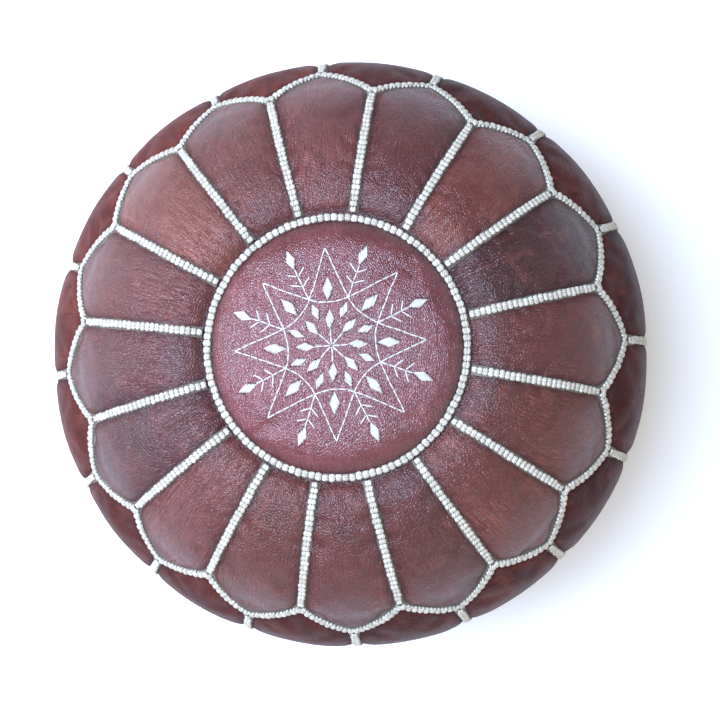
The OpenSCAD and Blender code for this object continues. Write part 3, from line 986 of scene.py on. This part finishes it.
scene.collection.objects.link(stuffing)
stuffing.data.shade_smooth()
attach(stuffing, "pouf")
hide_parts("filling")
print("stuffing has", len(stuffing.data.polygons), "faces")

# %% [markdown]
# ## Finishes
#
# Each finish starts from how the real surface was made. One function turns the colours of a
# swatch card into the light values that Blender works with, and one adds a node with its
# settings and its links.

# %% Colours and nodes
def linear(swatch):
    """An sRGB hex colour as linear RGBA."""
    parts = [int(swatch[i:i + 2], 16) / 255 for i in (1, 3, 5)]
    return (*[c / 12.92 if c <= 0.04045 else ((c + 0.055) / 1.055) ** 2.4 for c in parts], 1.0)


def add(material, kind, inputs=None, **settings):
    """A node with its settings, and its inputs, each a value or another node's output."""
    tree = material.node_tree
    made = tree.nodes.new(kind)
    for key, value in settings.items():
        setattr(made, key, value)
    for key, value in (inputs or {}).items():
        if isinstance(value, bpy.types.NodeSocket):
            tree.links.new(value, made.inputs[key])
        else:
            made.inputs[key].default_value = value
    return made


def new_material(name, **sockets):
    """A material with an empty tree but for its shader, whose steady sockets are set here."""
    material = bpy.data.materials.new(name)
    material.use_nodes = True
    material.node_tree.nodes.clear()
    shader = add(material, "ShaderNodeBsdfPrincipled", {k.replace("_", " "): v for k, v in sockets.items()})
    add(material, "ShaderNodeOutputMaterial", {"Surface": shader.outputs[0]})
    return material, shader


def blend_of(material, factor, a, b, how="MIX"):
    """The colour between a and b, each a colour or a socket."""
    mix = add(material, "ShaderNodeMix", {0: factor, 6: a, 7: b}, data_type="RGBA", blend_type=how)
    return mix.outputs[2]


def reshaped(material, value, low, high, to_low=0.0, to_high=1.0):
    """A value stretched from one range to another, and held inside it."""
    return add(material, "ShaderNodeMapRange", {0: value, 1: low, 2: high, 3: to_low, 4: to_high}).outputs[0]


# %% [markdown]
# The leather is goat, tanned with plants, dyed by hand and waxed. Dye soaks in unevenly, so
# each hide is cloudy, and no two hides match. Along the seams the leather is drawn in to a valley,
# where painted shade darkens it together with dye that stays dark, while the crowns are rubbed
# lighter. Fine creases run along the hide, over a pebbled grain, and painted shade darkens the
# creases' bottoms and the cracks between the pebbles. The creases follow the panel's own flat map,
# because they were in the hide before it was cut.

# %% Vegetable-tanned goat leather, dyed and waxed
def leather(name, dark, middle, light, shade_and_dye_dark, crease_turn, crease=1.0, gloss=0.42, coat=0.65, shine=0.5):
    """Colours from the hide's dark to its light and the dark of painted shade and dye, then the crease
    direction in degrees and the finish.
    """
    material, shader = new_material(name, Coat_Weight=coat, Coat_Roughness=0.2, Specular_IOR_Level=shine,
                                    IOR=1.5)
    place = add(material, "ShaderNodeTexCoord").outputs["Object"]
    flat = add(material, "ShaderNodeUVMap", uv_map="flat").outputs[0]
    hide = add(material, "ShaderNodeAttribute", attribute_name="hide").outputs["Fac"]
    warmth = add(material, "ShaderNodeAttribute", attribute_name="warmth").outputs["Fac"]
    seam = add(material, "ShaderNodeAttribute", attribute_name="seam_distance").outputs["Fac"]

    # Clouds of dye about 55 mm across, and mottling of 9 mm
    clouds = add(material, "ShaderNodeTexNoise", {"Vector": place, "Scale": 1 / 0.055, "Detail": 3.0,
                                                  "Roughness": 0.6, "Distortion": 0.6}).outputs["Fac"]
    mottle = add(material, "ShaderNodeTexNoise", {"Vector": place, "Scale": 1 / 0.009, "Detail": 4.0,
                                                  "Roughness": 0.65}).outputs["Fac"]
    # Pebbles 1.7 by 2.6 mm, drawn coarser than the hide's own so that they show
    turn = (0, 0, math.radians(crease_turn))
    pebble_place = add(material, "ShaderNodeMapping", {"Vector": flat, "Rotation": turn,
                                                       "Scale": (1 / 0.0017, 1 / 0.0026, 1)}).outputs[0]
    wander = add(material, "ShaderNodeTexNoise", {"Vector": pebble_place, "Scale": 0.5}).outputs["Color"]
    pebble_place = add(material, "ShaderNodeVectorMath", {0: pebble_place, 1: wander},
                       operation="ADD").outputs[0]
    cracks = add(material, "ShaderNodeTexVoronoi", {"Vector": pebble_place, "Scale": 1.0},
                 feature="DISTANCE_TO_EDGE", voronoi_dimensions="2D").outputs["Distance"]
    pebbles = reshaped(material, cracks, 0.0, 0.3)
    # Creases 3.5 mm apart and some 30 mm long, where a stretched noise crosses its middle
    crease_place = add(material, "ShaderNodeMapping", {"Vector": flat, "Rotation": turn,
                                                       "Scale": (1 / 0.0035, 1 / 0.03, 1)}).outputs[0]
    folds = add(material, "ShaderNodeTexNoise", {"Vector": crease_place, "Scale": 1.0, "Detail": 2.0,
                                                 "Roughness": 0.6, "Distortion": 0.5}).outputs["Fac"]
    off_middle = add(material, "ShaderNodeMath", {0: folds, 1: 0.5}, operation="SUBTRACT").outputs[0]
    off_middle = add(material, "ShaderNodeMath", {0: off_middle}, operation="ABSOLUTE").outputs[0]
    creases = reshaped(material, off_middle, 0.0, 0.05)
    # Scuffs: rubbed places about 25 mm across
    scuffs = add(material, "ShaderNodeTexNoise", {"Vector": place, "Scale": 1 / 0.025, "Detail": 6.0,
                                                  "Roughness": 0.7, "Distortion": 1.0}).outputs["Fac"]

    cloudy = reshaped(material, clouds, 0.3, 0.7, -0.24, 0.24)
    spotted = reshaped(material, mottle, 0.3, 0.7, -0.12, 0.12)
    tone = add(material, "ShaderNodeMath", {0: hide, 1: cloudy}, operation="ADD").outputs[0]
    tone = add(material, "ShaderNodeMath", {0: tone, 1: spotted}, operation="ADD").outputs[0]
    lower = reshaped(material, tone, 0.0, 0.5)
    upper = reshaped(material, tone, 0.5, 1.0)
    colour = blend_of(material, lower, linear(dark), linear(middle))
    colour = blend_of(material, upper, colour, linear(light))
    rubbed = reshaped(material, scuffs, 0.54, 0.70, 0.0, 0.5)
    colour = blend_of(material, rubbed, colour, linear(light))
    # Some hides took the dye as plum, others as brown
    tint = blend_of(material, warmth, linear("#f0d8e8"), linear("#fff0de"))
    colour = blend_of(material, 1.0, colour, tint, "MULTIPLY")
    # Painted shade darkens the bottoms of the creases and the cracks between the pebbles; along the seams
    # painted shade of the valley and dye that pools there darken it
    heavy = reshaped(material, clouds, 0.4, 0.62, 0.25 * crease, crease)
    # Painted shade in the bottoms of the creases
    crease_shade = add(material, "ShaderNodeMath", {0: reshaped(material, creases, 0.0, 1.0, 0.22, 0.0), 1: heavy},
               operation="MULTIPLY").outputs[0]
    colour = blend_of(material, crease_shade, colour, linear(shade_and_dye_dark))
    # Painted shade in the cracks between the pebbles
    between = reshaped(material, pebbles, 0.0, 0.5, 0.35 * crease, 0.0)
    colour = blend_of(material, between, colour, linear(shade_and_dye_dark))
    # Along the seams: painted shade of the valley, with dye that pools there
    by_seam = reshaped(material, seam, 1.5, 10.0, 0.85, 0.0)
    patchy = reshaped(material, mottle, 0.3, 0.65, 0.5, 1.1)
    seam_shade_and_dye = add(material, "ShaderNodeMath", {0: by_seam, 1: patchy}, operation="MULTIPLY").outputs[0]
    colour = blend_of(material, seam_shade_and_dye, colour, linear(shade_and_dye_dark))
    material.node_tree.links.new(colour, shader.inputs["Base Color"])

    # Waxed crowns are glossier than the hollows along the seams, which painted shade and dye darken
    waxed = reshaped(material, mottle, 0.3, 0.7, gloss - 0.05, gloss + 0.07)
    dull = reshaped(material, seam, 0.0, 14.0, 0.22, 0.0)
    rough = add(material, "ShaderNodeMath", {0: waxed, 1: dull}, operation="ADD").outputs[0]
    material.node_tree.links.new(rough, shader.inputs["Roughness"])

    grain = add(material, "ShaderNodeBump", {"Height": pebbles, "Strength": 0.6,
                                             "Distance": 0.0005}).outputs[0]
    wrinkled = add(material, "ShaderNodeBump", {"Height": creases, "Strength": heavy, "Distance": 0.0006,
                                                "Normal": grain}).outputs[0]
    soft = add(material, "ShaderNodeBump", {"Height": mottle, "Strength": 0.5, "Distance": 0.0022,
                                            "Normal": wrinkled}).outputs[0]
    material.node_tree.links.new(soft, shader.inputs["Normal"])
    material.node_tree.links.new(soft, shader.inputs["Coat Normal"])
    return material


petal_leathers = [leather(f"goat_leather_petal_{i}", "#401719", "#652d2c", "#8e5148", "#2d0c0b", turn)
                  for i, turn in enumerate((8, -14, 24, -30))]
side_leather = leather("goat_leather_side", "#3a1415", "#622824", "#8f483c", "#2a0c0a", 5,
                       crease=0.8, gloss=0.54, coat=0.0, shine=0.25)
base_leather = leather("goat_leather_base", "#3a1516", "#5c2825", "#804038", "#2e0e0c", 12,
                       crease=0.8, gloss=0.46, coat=0.15, shine=0.4)
round_leather = leather("goat_leather_medallion", "#481b1d", "#6e3237", "#92525a", "#3a1212", 60,
                        crease=0.7, gloss=0.36, coat=1.0, shine=0.7)
for piece in leather_pieces:
    kind, _, number = piece.name.partition("_")
    choice = {"petal": petal_leathers[int(number) % 4] if kind == "petal" else None, "flank": side_leather,
              "base": base_leather, "disc": base_leather, "medallion": round_leather}[kind]
    piece.data.materials.append(choice)

# %% [markdown]
# The braids and the embroidery are cotton, bleached and softly twisted. Each stitch's own
# coordinates carry the ply: bands a little over a millimetre apart that run round it aslant, with
# painted shade in the grooves between them. Handling leaves the thread creamier in places, and
# the heart of a braid is painted dark as the shade it lies in.

# %% Twisted cotton
def cotton(name, shade, clean, bright, ply):
    material, shader = new_material(name, Roughness=0.85, Sheen_Weight=0.25, Sheen_Roughness=0.5, IOR=1.45)
    strand = add(material, "ShaderNodeAttribute", attribute_name="strand").outputs["Vector"]
    tone = add(material, "ShaderNodeAttribute", attribute_name="tone").outputs["Fac"]
    place = add(material, "ShaderNodeTexCoord").outputs["Object"]
    turned = add(material, "ShaderNodeMapping", {"Vector": strand, "Rotation": (0, 0.5, math.radians(32)),
                                                 "Scale": (1 / ply, 1 / ply, 1 / ply)}).outputs[0]
    twist = add(material, "ShaderNodeTexWave", {"Vector": turned, "Scale": 0.32, "Distortion": 0.6,
                                                "Detail": 1.0}, bands_direction="Y").outputs["Fac"]
    soil = add(material, "ShaderNodeTexNoise", {"Vector": place, "Scale": 1 / 0.03,
                                                "Detail": 3.0}).outputs["Fac"]
    colour = blend_of(material, reshaped(material, tone, 0.1, 0.75), linear(shade), linear(clean))
    colour = blend_of(material, reshaped(material, tone, 0.7, 1.0), colour, linear(bright))
    # Painted shade in the grooves between the plies
    colour = blend_of(material, reshaped(material, twist, 0.0, 0.45, 0.5, 0.0), colour, linear(shade))
    colour = blend_of(material, reshaped(material, soil, 0.5, 0.8, 0.0, 0.25), colour, linear("#cfc6b4"))
    material.node_tree.links.new(colour, shader.inputs["Base Color"])
    ply_bump = add(material, "ShaderNodeBump", {"Height": twist, "Strength": 0.6,
                                                "Distance": 0.0004}).outputs[0]
    material.node_tree.links.new(ply_bump, shader.inputs["Normal"])
    return material


braid_cotton = cotton("cotton_braid_thread", "#5e564b", "#d2cab9", "#e8e1d2", 1.7)
star_cotton = cotton("cotton_embroidery_thread", "#98928a", "#dcd8ce", "#ebe8e0", 0.6)
seam_cotton = cotton("waxed_seam_thread", "#3a201a", "#6f4a38", "#8a6450", 0.5)
for piece in (ring_braid, petal_braids, side_braids, foot_braids):
    piece.data.materials.append(braid_cotton)
star.data.materials.append(star_cotton)
hem.data.materials.append(seam_cotton)

# %% Painted shade of the needle holes, the woven tape and the cotton stuffing
# The needle holes are dark discs of painted shade, darker in patches
hole_shade_paint, hole_shader = new_material("needle_hole_shade", Roughness=0.9, Specular_IOR_Level=0.1)
depth = add(hole_shade_paint, "ShaderNodeTexNoise", {"Scale": 1 / 0.002,
            "Vector": add(hole_shade_paint, "ShaderNodeTexCoord").outputs["Object"]}).outputs["Fac"]
hole_shade_paint.node_tree.links.new(blend_of(hole_shade_paint, depth, linear("#1c0c0b"), linear("#33191a")),
                              hole_shader.inputs["Base Color"])
holes.data.materials.append(hole_shade_paint)

# Herringbone polyester tape: ribs 0.9 mm apart, coarser than real so that they show
tape_cloth, tape_shader = new_material("woven_zip_tape", Roughness=0.8, Sheen_Weight=0.2)
tape_place = add(tape_cloth, "ShaderNodeTexCoord").outputs["Object"]
ribs = add(tape_cloth, "ShaderNodeTexWave", {"Vector": tape_place, "Scale": 0.32 / 0.0009,
                                             "Distortion": 0.3}, bands_direction="Y").outputs["Fac"]
picks = add(tape_cloth, "ShaderNodeTexWave", {"Vector": tape_place, "Scale": 0.32 / 0.0012,
                                              "Distortion": 0.3}, bands_direction="DIAGONAL").outputs["Fac"]
weave = add(tape_cloth, "ShaderNodeMath", {0: ribs, 1: picks}, operation="MULTIPLY").outputs[0]
tape_cloth.node_tree.links.new(blend_of(tape_cloth, weave, linear("#2b1b18"), linear("#5a3f36")),
                               tape_shader.inputs["Base Color"])
tape_bump = add(tape_cloth, "ShaderNodeBump", {"Height": weave, "Strength": 0.6,
                                               "Distance": 0.0003}).outputs[0]
tape_cloth.node_tree.links.new(tape_bump, tape_shader.inputs["Normal"])
for tape in tape_pieces:
    tape.data.materials.append(tape_cloth)

# Cotton waste: matted fibres in clots of 12 mm
wadding, wadding_shader = new_material("cotton_wadding", Roughness=0.95, Sheen_Weight=0.3)
wad_place = add(wadding, "ShaderNodeTexCoord").outputs["Object"]
clots = add(wadding, "ShaderNodeTexNoise", {"Vector": wad_place, "Scale": 1 / 0.012, "Detail": 8.0,
                                            "Roughness": 0.7, "Distortion": 1.2}).outputs["Fac"]
wadding.node_tree.links.new(blend_of(wadding, reshaped(wadding, clots, 0.3, 0.7), linear("#a89f8c"),
                                     linear("#ebe5d6")), wadding_shader.inputs["Base Color"])
wad_bump = add(wadding, "ShaderNodeBump", {"Height": clots, "Strength": 0.9, "Distance": 0.004}).outputs[0]
wadding.node_tree.links.new(wad_bump, wadding_shader.inputs["Normal"])
stuffing.data.materials.append(wadding)

# %% [markdown]
# The zip is cast brass that has been handled. Brass keeps its colour in the hollows and is
# polished where fingers and cloth rub it, so its roughness wanders and fine scratches run
# along it.

# %% Cast brass
def brass(name, dull, bright, rough):
    material, shader = new_material(name, Metallic=1.0)
    place = add(material, "ShaderNodeTexCoord").outputs["Object"]
    tarnish = add(material, "ShaderNodeTexNoise", {"Vector": place, "Scale": 1 / 0.004, "Detail": 5.0,
                                                   "Roughness": 0.65}).outputs["Fac"]
    long_way = add(material, "ShaderNodeMapping", {"Vector": place,
                                                   "Scale": (1 / 0.006, 1 / 0.0003, 1 / 0.0003)})
    scratches = add(material, "ShaderNodeTexNoise", {"Vector": long_way.outputs[0], "Scale": 1.0,
                                                     "Detail": 3.0}).outputs["Fac"]
    colour = blend_of(material, reshaped(material, tarnish, 0.35, 0.65), linear(dull), linear(bright))
    material.node_tree.links.new(colour, shader.inputs["Base Color"])
    material.node_tree.links.new(reshaped(material, tarnish, 0.3, 0.7, rough + 0.16, rough),
                                 shader.inputs["Roughness"])
    bump = add(material, "ShaderNodeBump", {"Height": scratches, "Strength": 0.25,
                                            "Distance": 0.0001}).outputs[0]
    material.node_tree.links.new(bump, shader.inputs["Normal"])
    return material


for node, finish in (("zip_teeth", brass("brass_teeth", "#7d5f2e", "#c09a52", 0.32)),
                     ("zip_slider", brass("brass_slider", "#8a6a34", "#cda65c", 0.26)),
                     ("zip_pull", brass("brass_pull", "#8a6a34", "#d6b168", 0.22))):
    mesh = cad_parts[node].data
    mesh.materials.clear()
    mesh.materials.append(finish)
    print(node, "is", finish.name)

# %% [markdown]
# ## The flat size of the leather pieces
#
# A sheet that has been blown up or stretched is still a sheet that was cut flat. Its flat size
# is measured on the CAD surface, before the stuffing went in, row by row and column by column.
# The sizes of the first petal, side panel and base panel and of the medallion are printed.

def cut_size(grid):
    """Greatest width, greatest length and area of a grid of points."""
    wide = np.linalg.norm(np.diff(grid, axis=1), axis=2).sum(axis=1).max()
    long = np.linalg.norm(np.diff(grid, axis=0), axis=2).sum(axis=0).max()
    a, b = grid[1:, 1:] - grid[:-1, :-1], grid[1:, :-1] - grid[:-1, 1:]
    return wide, long, 0.5 * np.linalg.norm(np.cross(a, b), axis=2).sum()


def declare(grid):
    wide, long, area = cut_size(grid)
    return wide, long, area


for k in range(PETALS):
    first = k * 2 * HALF
    for kind, rows, columns in (("petal", (0, EDGE_ROW), (first, first + 2 * HALF)),
                                ("flank", (EDGE_ROW, FOOT_ROW), (first - HALF, first + HALF)),
                                ("base", (FOOT_ROW, LAST_ROW), (first, first + 2 * HALF))):
        block = np.ix_(np.arange(rows[0], rows[1] + 1), np.arange(columns[0], columns[1] + 1) % COLUMNS)
        size = declare(plain[block])
        if k == 0:
            print(kind, "cut", [round(float(v), 4) for v in size])
print("medallion cut", [round(float(v), 4) for v in declare(dome_surface(gx, gy)[0])])
for side, name in ((1, "left"), (-1, "right")):
    points = disc_half(side)[0]
    points[..., 2] = DISC_Z

# %% [markdown]
# ## Floor and light
#
# The pouf stands on a pale seamless floor. Waxed leather shows its shape by what it mirrors, so
# a broad cool panel hangs high on the left: it lays a soft bluish sheen on every surface that
# turns that way, and lets the right side fall dark. A warm panel low on the left reddens the
# side there, and a weak warm one in front fills the shadows.

# %% Floor
deselect()
bpy.ops.mesh.primitive_plane_add(size=30)
floor = bpy.context.object
floor.name = "floor"
floor_paint, floor_shader = new_material("pale_seamless_floor", Roughness=0.7, Specular_IOR_Level=0.1,
                                         Emission_Color=(1, 1, 1, 1), Emission_Strength=0.2)
floor_place = add(floor_paint, "ShaderNodeTexCoord").outputs["Object"]
floor_tone = add(floor_paint, "ShaderNodeTexNoise", {"Vector": floor_place, "Scale": 2.0}).outputs["Fac"]
floor_paint.node_tree.links.new(blend_of(floor_paint, floor_tone, linear("#f8f8f8"), linear("#fbfbfb")),
                                floor_shader.inputs["Base Color"])
floor.data.materials.append(floor_paint)

# %% Lights and the world
LIGHTS = {
    "high_panel": ((-0.76, 0.10, 1.9), (1.35, 1.7), 90, (0.57, 0.73, 1.0)),
    "low_panel": ((-1.6, 0.5, 0.8), (1.3, 1.3), 10, (1.0, 0.70, 0.60)),
    "front_fill": ((0.9, -1.3, 1.4), (1.4, 1.4), 9, (1.0, 0.88, 0.76)),
}
for name, (spot, size, power, colour) in LIGHTS.items():
    lamp_data = bpy.data.lights.new(name, "AREA")
    lamp_data.shape = "RECTANGLE"
    lamp_data.energy, lamp_data.color = power, colour
    lamp_data.size, lamp_data.size_y = size
    lamp = bpy.data.objects.new(name, lamp_data)
    lamp.location = spot
    lamp.rotation_euler = (Vector((0, 0, 0.15)) - lamp.location).to_track_quat("-Z", "Y").to_euler()
    lamp.visible_camera = False
    scene.collection.objects.link(lamp)

world = bpy.data.worlds.new("soft_room")
scene.world = world
world.use_nodes = True
room = world.node_tree.nodes["Background"]
room.inputs["Color"].default_value = (1.0, 0.98, 0.95, 1.0)
room.inputs["Strength"].default_value = 0.28
scene.view_settings.view_transform = "Standard"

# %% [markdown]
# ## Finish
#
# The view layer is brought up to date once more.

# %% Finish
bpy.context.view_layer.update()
